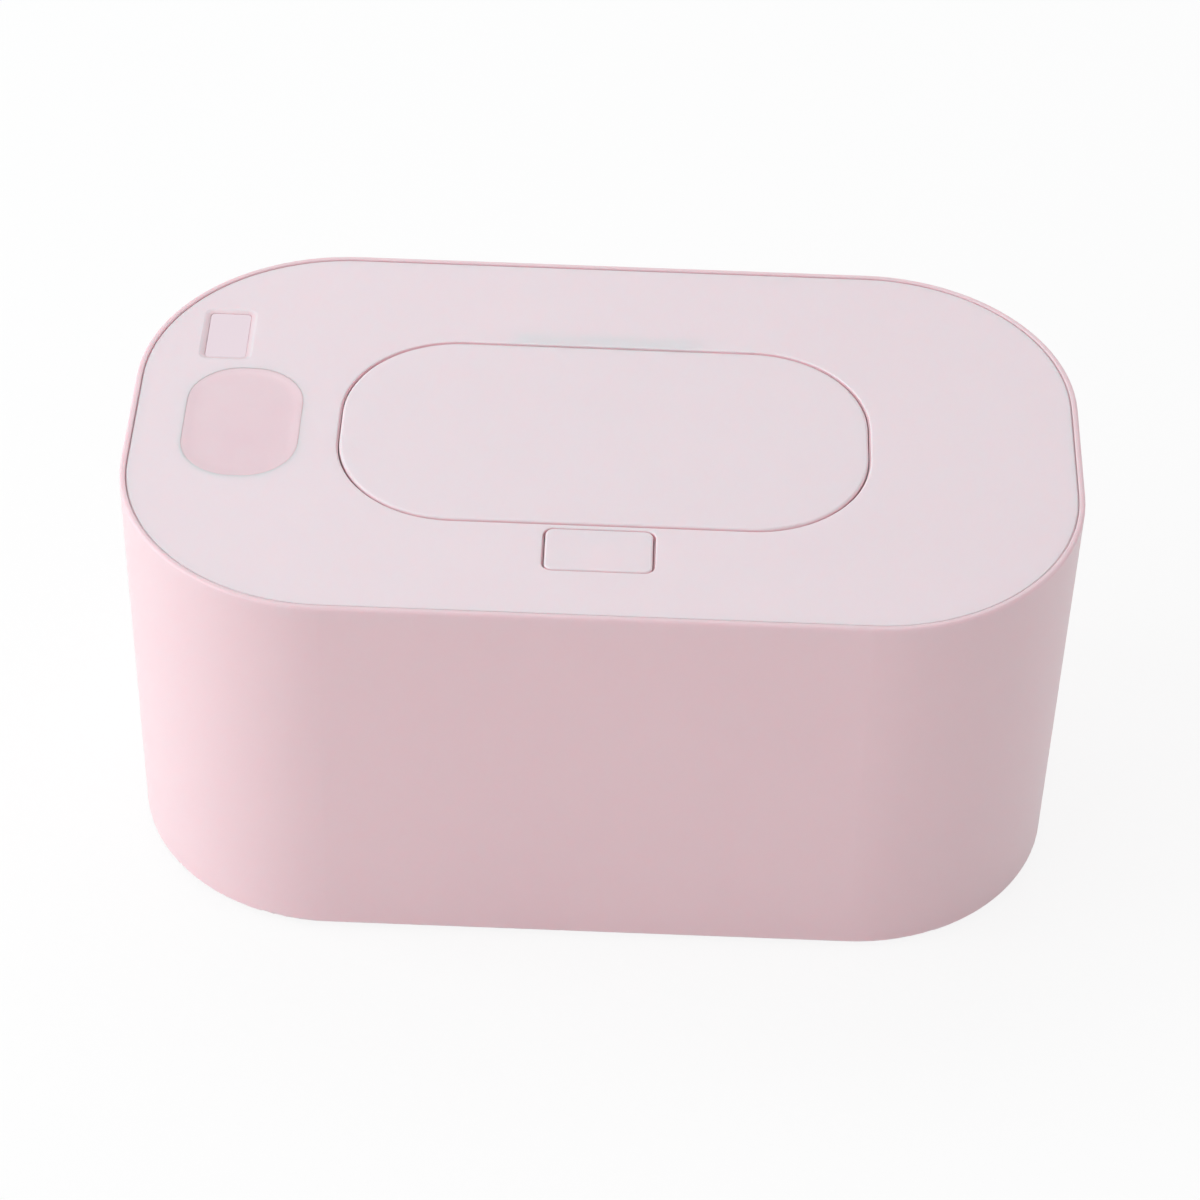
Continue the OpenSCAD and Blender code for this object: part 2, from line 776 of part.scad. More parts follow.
module hinge_bore(r) {
    translate([-pin_half - 0.2, hinge_y, hinge_z]) rotate([0, 90, 0])
        cylinder(r = r, h = 2 * pin_half + 0.4);
}

// Guides beside the latch slider, and the wall that its spring pushes on
module latch_rails() {
    for (s = [0, 1]) mirror([s, 0, 0])
        translate([slider_half + 0.3, slider_front + 1, z_well - edge_e])
            cube([1.2, slider_back - slider_front - 2.4, slider_h]);
    translate([-slider_half + 1, spring_wall_y - spring_wall_t, z_well - edge_e])
        cube([2 * slider_half - 2, spring_wall_t, slider_h + 1]);
    translate([0, spring_wall_y - edge_e, z_latch_axis]) rotate([-90, 0, 0])
        cylinder(r = peg_r, h = 1.5);
}

module inlet_posts() {
    for (s = [-1, 1]) translate([s * 7.5, socket_mouth - 10, 0])
        rod(2, z_well - edge_e, z_socket - inlet_board_t);
}

module cover_seal() {
    color(foam_grey) translate([0, 0, z_flange])
        linear_extrude(seal_stand + seal_groove - fit) difference() {
            rim_plan(seal_in);
            rim_plan(seal_in + seal_w);
        }
}

module cover_screws() {
    color(steel) at_corners(cover_screw_x, cover_screw_y)
        screw(screw_r, head_r, head_h, z_base, base_t + cover_pilot - 0.5);
}

module wipe_guide() {
    inside = guide_d / 2 - slot_d / 2;
    color(white) swept(guide_w / 2, guide_d / 2, guide_d / 2) difference() {
        union() {
            translate([guide_d / 2 - inside, z_well]) square([inside, guide_flange]);
            translate([guide_d / 2 - inside, z_well - guide_below])
                square([inside - guide_neck, guide_below + edge_e]);
        }
        soften([guide_d / 2 - inside, z_well + guide_flange], guide_soft, 1, -1);
        soften([guide_d / 2 - inside, z_well - guide_below], guide_soft, 1, 1);
    }
}

// --- heater ----------------------------------------------------------------

module heater_layer(z0, z1, inset, hole) {
    translate([0, 0, z0]) linear_extrude(z1 - z0) difference() {
        plan(plate_w / 2 - inset, plate_d / 2 - inset, plate_r - inset);
        slot(plate_slot_hx + inset, plate_slot_hy + inset);
        at_corners(heater_screw_x, heater_screw_y) circle(hole);
    }
}

module heating_plate() {
    color(steel) heater_layer(z_plate, z_film, 0, screw_clear);
}

module heater_film() {
    color([0.75, 0.45, 0.15]) heater_layer(z_film, z_pad, 1.5, 4);
}

module heater_pad() {
    color(foam_grey) difference() {
        heater_layer(z_pad, z_base, 1, screw_clear);
        translate([fuse_x - fuse_r - loose, -fuse_l / 2 - 2, z_pad - 1])
            cube([2 * (fuse_r + loose), fuse_l + 4, 4]);
        translate([fuse_x, sensor_y, 0]) rod(bead_r + loose, z_pad - 1, z_base + 1);
        for (i = [0, 1]) translate([fuse_x - i * lead_step, leads_y, 0])
            rod(lead_r + loose, z_pad - 1, z_base + 1);
    }
}

module heater_screws() {
    color(steel) at_corners(heater_screw_x, heater_screw_y)
        screw(screw_r, head_r, head_h, z_plate, z_well - z_plate + heater_boss_h - pilot_skin - 0.3);
}

module thermistor() {
    color(chip_black) {
        translate([fuse_x, sensor_y, 0]) rod(bead_r, z_pad + 0.05, z_pad + 2.4);
        for (s = [-1, 1]) translate([fuse_x + s * 0.7, sensor_y, 0])
            rod(0.25, z_pad + 2.3, z_board);
    }
}

module thermal_fuse() {
    axis_z = z_pad + fuse_r + 0.05;
    color([0.85, 0.83, 0.78]) {
        translate([fuse_x, -fuse_l / 2, axis_z]) rotate([-90, 0, 0])
            cylinder(r = fuse_r, h = fuse_l);
        for (s = [-1, 1])
            wire([[fuse_x, s * (fuse_l / 2 - 0.1), axis_z], [fuse_x, s * (fuse_l / 2 + 1.5), axis_z],
                  [fuse_x, s * (fuse_l / 2 + 1.5), z_board]], 0.3);
    }
}

module heater_leads() {
    color([0.8, 0.15, 0.12]) for (i = [0, 1]) translate([fuse_x - i * lead_step, leads_y, 0])
        rod(lead_r, z_pad, z_board);
}

// --- controls --------------------------------------------------------------

module touch_pad() {
    z0 = z_panel - pad_sunk - pad_t;
    color(deep_pink) translate([pad_x, 0, 0]) {
        swept(pad_w / 2, pad_d / 2, pad_r)
            polygon([[0, z0], [pad_r, z0], [pad_r, z_panel - 0.03],
                     [pad_r - pad_slope, z_panel - pad_sunk], [0, z_panel - pad_sunk]]);
        core(pad_w / 2, pad_d / 2, pad_r, z0, z_panel - pad_sunk);
    }
}

module touch_spring() {
    color(steel) translate([pad_x, 0, z_board_top + 0.35])
        coil(4, 3.6, 2.2, board_gap - 0.7, 0.25);
}

module display_window() {
    color(pink) translate([window_x, window_y, z_panel - window_sunk - window_t])
        linear_extrude(window_t) plan(window_w / 2, window_d / 2, window_r);
}

module display_module() {
    top = z_panel - window_sunk - window_t - 0.1;
    color(chip_black) translate([window_x - display_w / 2, window_y - 7.5, z_board_top])
        cube([display_w, display_d, top - z_board_top]);
}

module control_board() {
    color(board_green) translate([0, 0, z_board]) linear_extrude(board_t) difference() {
        intersection() {
            translate([board_left, board_front])
                square([board_right - board_left, board_back - board_front]);
            rim_plan(board_in);
        }
        for (p = board_screws_at) translate(p) circle(small_r + 0.2);
    }
}

module board_screws() {
    color(steel) for (p = board_screws_at) translate(p)
        screw(small_r, small_head, 1, z_board, board_t + board_gap - 0.6);
}

module microcontroller() {
    color(chip_black) translate([pad_x - 2, board_front + 5.5, z_board_top])
        cube([chip_w, chip_d, chip_h]);
}

module buzzer() {
    color(chip_black) translate([board_left + 6, 12, 0])
        rod(buzzer_r, z_board_top, z_board_top + buzzer_h);
}

module heater_switch() {
    color(chip_black) translate([board_right - 8, -10, z_board_top])
        cube([switch_w, switch_d, switch_h]);
}

module lead_socket() {
    color(white) difference() {
        translate([socket_at[0], socket_at[1], z_board_top])
            cube([lead_socket_w, lead_socket_d, lead_socket_h]);
        for (i = [0, 1])
            translate([socket_at[0] + 1, socket_at[1] + lead_in + i * lead_step, z_lead_hole])
                rotate([0, 90, 0]) cylinder(r = lead_r + pin_hold, h = lead_socket_w + 1);
    }
}

// --- power inlet -----------------------------------------------------------

module inlet_socket() {
    color(steel) translate([0, socket_mouth, inlet_z]) rotate([90, 0, 0]) {
        linear_extrude(socket_l) difference() {
            slot(socket_w / 2, socket_h / 2);
            slot(socket_w / 2 - socket_skin, socket_h / 2 - socket_skin);
        }
        translate([0, 0, socket_l - 1]) linear_extrude(1) slot(socket_w / 2, socket_h / 2);
        translate([-3.3, -0.35, 1]) cube([6.6, 0.7, socket_l - 1.5]);
    }
}

module inlet_board() {
    color(board_green) translate([-inlet_board_w / 2, socket_mouth - 14, z_socket - inlet_board_t])
        cube([inlet_board_w, inlet_board_d, inlet_board_t]);
}

module inlet_leads() {
    lead_z = z_socket + lead_r;
    color([0.8, 0.15, 0.12]) for (i = [0, 1]) {
        in_y = socket_at[1] + lead_in + i * lead_step;
        lead([[-6, socket_mouth - 11 + i * 2, lead_z],
              [-14, socket_mouth - 11 + i * 2, lead_z],
              [-open_w / 2 + 8, cover_screw_y + i * 2, lead_z + 1],
              [board_right + 7 - i * 2, in_y + 8, z_lead_hole],
              [board_right + 4 - i, in_y, z_lead_hole],
              [socket_at[0] + 1.5, in_y, z_lead_hole]], lead_r);
    }
}

// --- flip lid --------------------------------------------------------------

module lid_outer() {
    hx = lid_w / 2;
    hy = lid_d / 2;
    color(pink) difference() {
        union() {
            difference() {
                union() {
                    swept(hx, hy, lid_r) difference() {
                        polygon([[0, z_skin], [lid_r - lid_wall, z_skin],
                                 [lid_r - lid_wall, z_lid_under],
                                 [lid_r - lid_relief, z_lid_under],
                                 [lid_r - lid_relief, z_panel - lid_brim],
                                 [lid_r, z_panel - lid_brim], [lid_r, z_panel], [0, z_panel]]);
                        soften([lid_r, z_panel], lid_soft, -1, -1);
                    }
                    core(hx, hy, lid_r, z_skin, z_panel);
                }
                // Undercut that lets the back edge swing past the panel
                translate([-hx, hinge_y, hinge_z]) rotate([0, 90, 0])
                    cylinder(r = sweep_r, h = lid_w);
            }
            for (s = [-1, 1]) translate([s * (knuckle_x + knuckle_w / 2), hinge_y, hinge_z])
                hinge_arm();
        }
        hinge_bore(pin_r + pin_play);
    }
}

// Arm that reaches down from the lid's back wall, under the panel's edge and up
// to the pin. Measured from the pin's axis.
module hinge_arm() {
    front = hinge_back + lid_wall;
    rotate([90, 0, 90]) linear_extrude(knuckle_w, center = true) {
        circle(knuckle_r);
        polygon([[-front, z_lid_under - hinge_z + arm_join], [-front, -arm_low], [-arm_neck, -arm_low],
                 [knuckle_r, -arm_top], [knuckle_r, 0], [-arm_neck, 0], [-arm_neck, -arm_top],
                 [-sweep_r, -arm_top], [-sweep_r, z_lid_under - hinge_z + arm_join]]);
    }
}

module lid_inner() {
    inset = lid_wall + inner_gap;
    hx = lid_w / 2 - inset;
    hy = lid_d / 2 - inset;
    r = lid_r - inset;
    rib_hx = collar_hx + collar_wall + lid_seal_out + fit;
    rib_hy = collar_hy + collar_wall + lid_seal_out + fit;
    color(white) {
        translate([0, 0, z_lid_under]) linear_extrude(inner_t) plan(hx, hy, r);
        // Rib that meets the underside of the lid's top
        translate([0, 0, z_lid_under + inner_t - edge_e])
            linear_extrude(z_skin - z_lid_under - inner_t + edge_e) difference() {
                plan(hx - 2, hy - 2, r - 2);
                plan(hx - 3.2, hy - 3.2, r - 3.2);
            }
        // Ribs on both sides of the seal
        translate([0, 0, z_lid_under - 1]) linear_extrude(1 + edge_e) {
            difference() {
                slot(rib_hx + 0.9, rib_hy + 0.9);
                slot(rib_hx, rib_hy);
            }
            difference() {
                slot(rib_hx - lid_seal_w - 2 * fit, rib_hy - lid_seal_w - 2 * fit);
                slot(rib_hx - lid_seal_w - 2 * fit - 0.9, rib_hy - lid_seal_w - 2 * fit - 0.9);
            }
        }
        // Catch that the latch's nose holds down
        rotate([90, 0, 90]) linear_extrude(2 * catch_half, center = true)
            polygon([[catch_back, z_lid_under + edge_e], [catch_back, z_nose - 2.2],
                     [catch_front + 0.9, z_nose - 2.2], [catch_front, z_nose - 1.3],
                     [catch_front, z_nose - catch_play],
                     [nose_tip + 0.4, z_nose - catch_play],
                     [nose_tip + 0.4, z_lid_under + edge_e]]);
    }
}

module lid_seal() {
    hx = collar_hx + collar_wall + lid_seal_out;
    hy = collar_hy + collar_wall + lid_seal_out;
    z0 = z_collar + lid_seal_gap;
    color(foam_grey) translate([0, 0, z0]) linear_extrude(z_lid_under - z0) difference() {
        slot(hx, hy);
        slot(hx - lid_seal_w, hy - lid_seal_w);
    }
}

module hinge_pin() {
    color(steel) translate([-pin_half, hinge_y, hinge_z]) rotate([0, 90, 0])
        cylinder(r = pin_r, h = 2 * pin_half);
}

module lid_spring() {
    color(steel) translate([-lid_coil_half, hinge_y, hinge_z]) rotate([0, 90, 0])
        coil(lid_coil_turns, lid_coil_r, lid_coil_r, 2 * lid_coil_half, lid_coil_wire);
}

// --- button and latch ------------------------------------------------------

module release_button() {
    hx = button_w / 2;
    hy = button_d / 2;
    slope = slope_y + z_slider_top + slope_gap;
    color(pink) {
        translate([0, button_y, 0]) {
            swept(hx, hy, button_r) difference() {
                polygon([[0, z_panel - button_skin], [button_r - button_wall, z_panel - button_skin],
                         [button_r - button_wall, z_button_under], [button_r, z_button_under],
                         [button_r, z_panel], [0, z_panel]]);
                soften([button_r, z_panel], button_soft, -1, -1);
            }
            core(hx, hy, button_r, z_panel - button_skin, z_panel);
        }
        // Side flanges that stop the button under the panel
        for (s = [0, 1]) mirror([s, 0, 0])
            translate([hx - 0.3, button_front + button_r, z_button_under])
                cube([2, button_d - 2 * button_r, z_under - z_button_under - 0.1]);
        // Wedge that pushes the latch forwards
        rotate([90, 0, 90]) linear_extrude(2 * wedge_half, center = true)
            polygon([[wedge_back, wedge_low], [slope - wedge_low, wedge_low],
                     [slope - z_slope_top, z_slope_top],
                     [slope - z_slope_top, z_panel - button_skin + edge_e],
                     [wedge_back, z_panel - button_skin + edge_e]]);
    }
}

module latch_slider() {
    slope = slope_y + z_slider_top;
    color(white) {
        difference() {
            rotate([90, 0, 90]) linear_extrude(2 * slider_half, center = true)
                polygon([[slider_front, z_slider], [slider_back, z_slider], [slider_back, z_nose],
                         [nose_tip, z_nose], [nose_tip, z_nose + 0.4],
                         [nose_tip - 1, z_slider_top], [slider_front, z_slider_top]]);
            rotate([90, 0, 90]) linear_extrude(2 * catch_half, center = true)
                polygon([[slope - z_slider_top - 1, z_slider_top + 1],
                         [slope - z_slider + 1, z_slider - 1],
                         [window_back, z_slider - 1], [window_back, z_slider_top + 1]]);
        }
        translate([0, slider_front + edge_e, z_latch_axis]) rotate([90, 0, 0])
            cylinder(r = peg_r, h = peg_l);
    }
}

module latch_spring() {
    color(steel) translate([0, slider_front - 0.3, z_latch_axis]) rotate([90, 0, 0])
        coil(6, 1.5, 1.5, slider_front - spring_wall_y - 0.6, 0.25);
}

outer_shell();
inner_liner();
insulation_wrap();
insulation_pad();
rubber_feet();
body_screws();
cover_panel();
cover_base();
cover_seal();
cover_screws();
wipe_guide();
heating_plate();
heater_film();
heater_pad();
heater_screws();
thermistor();
thermal_fuse();
heater_leads();
touch_pad();
touch_spring();
display_window();
display_module();
control_board();
board_screws();
microcontroller();
buzzer();
heater_switch();
lead_socket();
inlet_socket();
inlet_board();
inlet_leads();
hinge_pin();
lid_spring();
lid_outer();
lid_inner();
lid_seal();
release_button();
latch_slider();
latch_spring();
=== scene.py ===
# %% [markdown]
# # A baby wipe warmer in pink plastic
# The real object is a wide, low tub with round corners. A heated cover sits in its
# rim, and a flip lid, a push button, a touch pad and a display window are let into
# that cover. The exact solids come from the CAD model, so this lesson is about what
# a camera sees: soft edges, moulded plastic, silicone, foam, wire and light.

# %% Load the fixed frame
import math
import bmesh
import bpy
from mathutils import Matrix, Vector


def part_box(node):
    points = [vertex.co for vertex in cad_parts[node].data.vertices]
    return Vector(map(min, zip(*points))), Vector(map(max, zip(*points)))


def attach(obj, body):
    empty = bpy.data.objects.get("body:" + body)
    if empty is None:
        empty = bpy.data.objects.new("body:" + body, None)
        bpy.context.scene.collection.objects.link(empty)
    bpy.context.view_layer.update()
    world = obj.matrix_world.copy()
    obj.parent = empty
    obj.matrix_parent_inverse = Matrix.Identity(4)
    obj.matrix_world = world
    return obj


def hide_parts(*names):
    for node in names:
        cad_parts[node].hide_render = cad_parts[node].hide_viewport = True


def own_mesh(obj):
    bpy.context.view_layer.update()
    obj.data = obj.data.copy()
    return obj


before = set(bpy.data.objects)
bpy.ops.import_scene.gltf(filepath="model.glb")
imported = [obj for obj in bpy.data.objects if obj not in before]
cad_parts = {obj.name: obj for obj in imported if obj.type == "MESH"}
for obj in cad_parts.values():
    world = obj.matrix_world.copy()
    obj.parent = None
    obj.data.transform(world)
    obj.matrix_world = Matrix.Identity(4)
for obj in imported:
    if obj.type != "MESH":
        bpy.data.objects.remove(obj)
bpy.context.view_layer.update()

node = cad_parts
MM = 0.001

# %% [markdown]
# ## Shader maths written as Python
# A plastic's small changes in colour and gloss are arithmetic on noise. Wiring each
# Math node by hand hides that arithmetic, so a small class wraps a socket and turns
# plus, minus, times and the comparisons into nodes. Colours go through Mix nodes
# instead, because a Math node would turn them grey.

# %% A socket that can be added and multiplied
class Value:
    def __init__(self, owner, socket):
        self.owner, self.socket = owner, socket

    def math(self, operation, other, swap=False):
        pair = (other, self) if swap else (self, other)
        return self.owner.add("Math", {"operation": operation}, *pair)

    def __add__(self, other): return self.math("ADD", other)
    def __radd__(self, other): return self.math("ADD", other, True)
    def __sub__(self, other): return self.math("SUBTRACT", other)
    def __rsub__(self, other): return self.math("SUBTRACT", other, True)
    def __mul__(self, other): return self.math("MULTIPLY", other)
    def __rmul__(self, other): return self.math("MULTIPLY", other, True)
    def __gt__(self, other): return self.math("GREATER_THAN", other)
    def __lt__(self, other): return self.math("LESS_THAN", other)


# %% A tree of nodes, with one method for every other kind of node
FACTOR, COLOUR_A, COLOUR_B, COLOUR_OUT = 0, 6, 7, 2


class Nodes:
    def __init__(self, tree):
        self.tree = tree

    def link(self, value, socket):
        if isinstance(value, Value):
            self.tree.links.new(value.socket, socket)
        else:
            socket.default_value = value

    def add(self, kind, settings=None, *values, output=0, **named):
        made = self.tree.nodes.new("ShaderNode" + kind)
        for key, setting in (settings or {}).items():
            setattr(made, key, setting)
        for socket, value in zip(made.inputs, values):
            self.link(value, socket)
        for key, value in named.items():
            self.link(value, made.inputs[key.replace("_", " ")])
        return Value(self, made.outputs[output])

    def colours(self, amount, low, high):
        mixed = self.add("Mix", {"data_type": "RGBA"}, output=COLOUR_OUT)
        for place, value in zip((FACTOR, COLOUR_A, COLOUR_B), (amount, low, high)):
            self.link(value, mixed.socket.node.inputs[place])
        return mixed


print("a Mix node has its colours at inputs", COLOUR_A, "and", COLOUR_B)


# %% One finish: a material with its shader, its place and its textures
class Finish(Nodes):
    def __init__(self, name):
        self.material = bpy.data.materials.new(name)
        self.material.use_nodes = True
        super().__init__(self.material.node_tree)
        self.shader = self.tree.nodes["Principled BSDF"]
        self.place = self.add("TexCoord", output="Object")

    def noise(self, size_mm, detail=2.0, stretch=(1, 1, 1)):
        placed = self.add("Mapping", None, Vector=self.place, Scale=stretch)
        return self.add("TexNoise", None, Vector=placed, Scale=1000 / size_mm, Detail=detail)

    def bump(self, height, depth_mm):
        return self.add("Bump", None, Height=height, Strength=1.0, Distance=depth_mm * MM)

    def set(self, **values):
        for key, value in values.items():
            self.link(value, self.shader.inputs[key.replace("_", " ")])


# %% Colours as they are read off a screen
def srgb(r, g, b):
    def linear(v):
        v /= 255
        return v / 12.92 if v <= 0.04045 else ((v + 0.055) / 1.055) ** 2.4
    return (linear(r), linear(g), linear(b), 1.0)


print("panel pink is", [round(v, 3) for v in srgb(237, 218, 224)])

# %% [markdown]
# ## Moulded pink plastic
# The tub and the cover are injection-moulded ABS with a fine spark-eroded grain.
# Three layers of noise stand for it: a grain of a few tenths of a millimetre in the
# bump, a cloudy change in gloss where the melt flowed, and a barely seen drift of
# colour. Light travels a few millimetres through the pinks, which subsurface scatter
# gives, and the tub has a faint bloom. One function makes all of them, so that they
# stay one family. The flat top of the cover, and of the lid and button let into it,
# is painted paler than the walls, a painted sheen that stands in for the light from
# above, while the walls and gap edges keep a deeper pink. A map range on the height
# tells the two apart.

# %% Make a moulded plastic
# Below the first height the deeper wall pink is used; above the second the flat top takes the paler
# colours, a painted sheen of the light from above.
FACE_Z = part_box("cover_panel")[1][2]
DEEP_PINK_BELOW, PAINTED_SHEEN_ABOVE = FACE_Z - 0.4 * MM, FACE_Z - 0.08 * MM
GLOW_COLOURS, GLOW_REACH = (1.0, 0.55, 0.6), 0.003


def moulded(name, dark, light, roughness, grain_mm=0.28, grain_depth=0.004,
            soft=0.0, bloom=0.0, drift_mm=38, wall=None):
    f = Finish(name)
    drift = f.noise(drift_mm, 3)
    cloud = f.noise(9, 4)
    grain = f.noise(grain_mm, 2)
    shade = f.colours(drift * 0.7 + cloud * 0.3, dark, light)
    # Painted sheen: the flat top fades to the pale colours, and the walls and gap edges under it keep
    # the deeper pink.
    if wall:
        height = f.add("SeparateXYZ", None, f.place, output="Z")
        painted_sheen_mask = f.add("MapRange", None, Value=height, From_Min=DEEP_PINK_BELOW, From_Max=PAINTED_SHEEN_ABOVE)
        shade = f.colours(painted_sheen_mask, wall, shade)
    f.set(Base_Color=shade,
          Roughness=roughness - 0.05 + cloud * 0.07 + grain * 0.03,
          Normal=f.bump(grain, grain_depth), IOR=1.5)
    if soft:
        f.set(Subsurface_Weight=soft, Subsurface_Radius=GLOW_COLOURS, Subsurface_Scale=GLOW_REACH)
    if bloom:
        f.set(Sheen_Weight=bloom, Sheen_Roughness=0.6)
    return f.material


shell_pink = moulded("shell_pink", srgb(231, 197, 204), srgb(235, 201, 207), 0.44,
                     soft=0.7, bloom=0.3)
# The panel's two pale colours are a painted sheen on its flat top; the third is the deeper pink of its
# walls and gap edges.
panel_pink = moulded("panel_pink", srgb(237, 218, 224), srgb(240, 221, 227), 0.52,
                     soft=0.7, wall=srgb(246, 206, 213))
pad_pink = moulded("pad_pink", srgb(245, 200, 210), srgb(251, 215, 221), 0.36, 0.5, 0.001,
                   soft=0.5, drift_mm=16)
window_pink = moulded("window_pink", srgb(235, 217, 225), srgb(238, 220, 228), 0.22, 0.6, 0.0005)
liner_white = moulded("liner_white", srgb(236, 236, 233), srgb(241, 241, 239), 0.38, 0.35, 0.002)
base_white = moulded("base_white", srgb(231, 231, 228), srgb(238, 238, 236), 0.45, 0.3, 0.003)
print("six moulded plastics")

# %% [markdown]
# ## Rubber, silicone and foam
# Silicone has a dusty, even skin, so its roughness is high and its noise is fine.
# Closed-cell foam shows its cells: a Voronoi texture gives each cell a small dome.

# %% Soft materials
CELLS_PER_METRE = 1100.0


def soft_skin(name, dark, light, roughness, size_mm=0.6, depth=0.006):
    f = Finish(name)
    skin, dust = f.noise(size_mm, 3), f.noise(6, 3)
    f.set(Base_Color=f.colours(dust, dark, light), Roughness=roughness + dust * 0.08,
          Normal=f.bump(skin, depth), IOR=1.42)
    return f.material


def foam(name, dark, light):
    f = Finish(name)
    cell = f.add("TexVoronoi", None, Vector=f.place, Scale=CELLS_PER_METRE)
    f.set(Base_Color=f.colours(cell, light, dark), Roughness=0.9, Normal=f.bump(cell, -0.12))
    return f.material


guide_silicone = soft_skin("guide_silicone", srgb(226, 226, 224), srgb(234, 234, 232), 0.52)
seal_silicone = soft_skin("seal_silicone", srgb(214, 215, 216), srgb(222, 223, 224), 0.58)
feet_rubber = soft_skin("feet_rubber", srgb(150, 150, 152), srgb(164, 164, 166), 0.62, 0.4, 0.02)
lead_skin = soft_skin("lead_skin", srgb(188, 40, 34), srgb(204, 52, 44), 0.42, 0.5, 0.004)
wrap_foam = foam("wrap_foam", srgb(196, 198, 202), srgb(226, 227, 229))
print("silicone, rubber, lead skin and foam")

# %% [markdown]
# ## Metal parts
# Wire and screws are plated steel, and the heating plate is rolled aluminium with
# fine lines along its length. Stretching a noise along X gives the rolling marks.

# %% Steel and aluminium
def metal(name, dark, light, roughness, size_mm=0.25, stretch=(1, 1, 1), depth=0.002):
    f = Finish(name)
    line, stain = f.noise(size_mm, 2, stretch), f.noise(7, 3)
    f.set(Base_Color=f.colours(stain, dark, light), Metallic=1.0,
          Roughness=roughness - 0.06 + line * 0.14 + stain * 0.05, Normal=f.bump(line, depth))
    return f.material


plated_steel = metal("plated_steel", srgb(186, 188, 192), srgb(206, 208, 211), 0.28)
socket_steel = metal("socket_steel", srgb(190, 191, 194), srgb(208, 209, 211), 0.24)
rolled_plate = metal("rolled_plate", srgb(196, 198, 201), srgb(216, 218, 220), 0.34, 0.3, (0.04, 1, 1))
print("three metals")

# %% [markdown]
# ## Electronics
# A board is green solder mask over copper tracks, which show as slightly lighter
# bands. The heater film is amber plastic with a dark track that runs to and fro.

# %% Board, chips, film and fuse
BANDS = {"wave_type": "BANDS", "bands_direction": "Y"}


def board():
    f = Finish("solder_mask")
    bend = f.noise(14, 1)
    rows = f.add("TexWave", BANDS, Vector=f.place, Scale=110.0, Distortion=6.0, Detail=0.0)
    track = (rows > 0.72) * (bend > 0.42)
    f.set(Base_Color=f.colours(track, srgb(16, 92, 62), srgb(38, 128, 84)),
          Roughness=0.34 - track * 0.06, Normal=f.bump(track, 0.03))
    return f.material


def film():
    f = Finish("heater_film")
    rows = f.add("TexWave", BANDS, Vector=f.place, Scale=70.0, Distortion=0.0)
    track = rows > 0.55
    f.set(Base_Color=f.colours(track, srgb(214, 150, 60), srgb(112, 74, 44)), Roughness=0.26,
          Normal=f.bump(track, 0.02))
    return f.material


board_green, film_amber = board(), film()
chip_black = soft_skin("chip_black", srgb(26, 26, 28), srgb(36, 36, 38), 0.48, 0.2, 0.003)
fuse_white = soft_skin("fuse_white", srgb(214, 208, 196), srgb(224, 219, 208), 0.36, 0.3, 0.002)
print("board, film, chips and fuse")

# %% [markdown]
# ## Pieces that a profile can make
# Screws, feet, wire and let-in pads are all one small profile that goes round: round
# an axis, up a helix, or round a rounded rectangle. The spin operator does all three.
# For a rounded rectangle the ring is spun first, and its four quarters are then moved
# apart, which stretches the faces between them into the straight sides. The ring
# starts half a step round, so that no point lies between two quarters.

# %% Draw a profile in millimetres
def profile(bm, points, closed=False):
    verts = [bm.verts.new(Vector(p) * MM) for p in points]
    ends = verts[1:] + (verts[:1] if closed else [])
    return verts + [bm.edges.new(pair) for pair in zip(verts, ends)]


def only(kind, geometry):
    return [part for part in geometry if isinstance(part, kind)]


BMVert, BMEdge = bmesh.types.BMVert, bmesh.types.BMEdge
TINY, SAME_PLACE = 1e-9, 1e-6
print("points closer than", SAME_PLACE, "m are merged")


# %% Spin it round the Z axis, or round a rounded rectangle
def spun(bm, points, steps=48, closed=False, apart=(0, 0)):
    drawn = profile(bm, [(r, 0, z) for r, z in points], closed)
    half_step = Matrix.Rotation(math.pi / steps, 3, "Z")
    bmesh.ops.rotate(bm, verts=only(BMVert, drawn), cent=(0, 0, 0), matrix=half_step)
    bmesh.ops.spin(bm, geom=drawn, cent=(0, 0, 0), axis=(0, 0, 1), angle=math.tau,
                   steps=steps, use_merge=True)
    for axis in (0, 1):
        for side in (-1, 1):
            move = Vector((0, 0, 0))
            move[axis] = side * apart[axis] * MM
            beyond = [v for v in bm.verts if v.co[axis] * side > TINY]
            bmesh.ops.translate(bm, verts=beyond, vec=move)


# %% Put copies of a shape where the CAD has them
def copies(bm, places):
    first = bm.verts[:]
    base = first + bm.edges[:] + bm.faces[:]
    for place in places[1:]:
        made = bmesh.ops.duplicate(bm, geom=base)["geom"]
        bmesh.ops.translate(bm, verts=only(BMVert, made), vec=place)
    bmesh.ops.translate(bm, verts=first, vec=places[0])


def corners(name, reach):
    low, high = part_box(name)
    x, y = high[0] - reach * MM, high[1] - reach * MM
    return [Vector((sx * x, sy * y, low[2])) for sx in (-1, 1) for sy in (-1, 1)]


# %% Close a shape and hand it to its body
def hand_over(name, bm, finish, body, slot, *stands_for, crease=35):
    bmesh.ops.remove_doubles(bm, verts=bm.verts, dist=SAME_PLACE)
    bmesh.ops.recalc_face_normals(bm, faces=bm.faces)
    mesh = bpy.data.meshes.new(name)
    bm.to_mesh(mesh)
    bm.free()
    mesh.shade_smooth()
    mesh.set_sharp_from_angle(angle=math.radians(crease))
    mesh.materials.append(finish)
    made = bpy.data.objects.new(name, mesh)
    bpy.context.scene.collection.objects.link(made)
    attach(made, body)
    if stands_for:
        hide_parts(*stands_for)
    print(name, len(mesh.polygons), "faces, stands for", stands_for or "nothing")
    return made


# %% [markdown]
# ## Rubber feet with grip rings
# Each foot is a soft disc glued into a pocket. A flat disc would slide, so the real
# ones have raised rings, which are only a few more points in the profile.

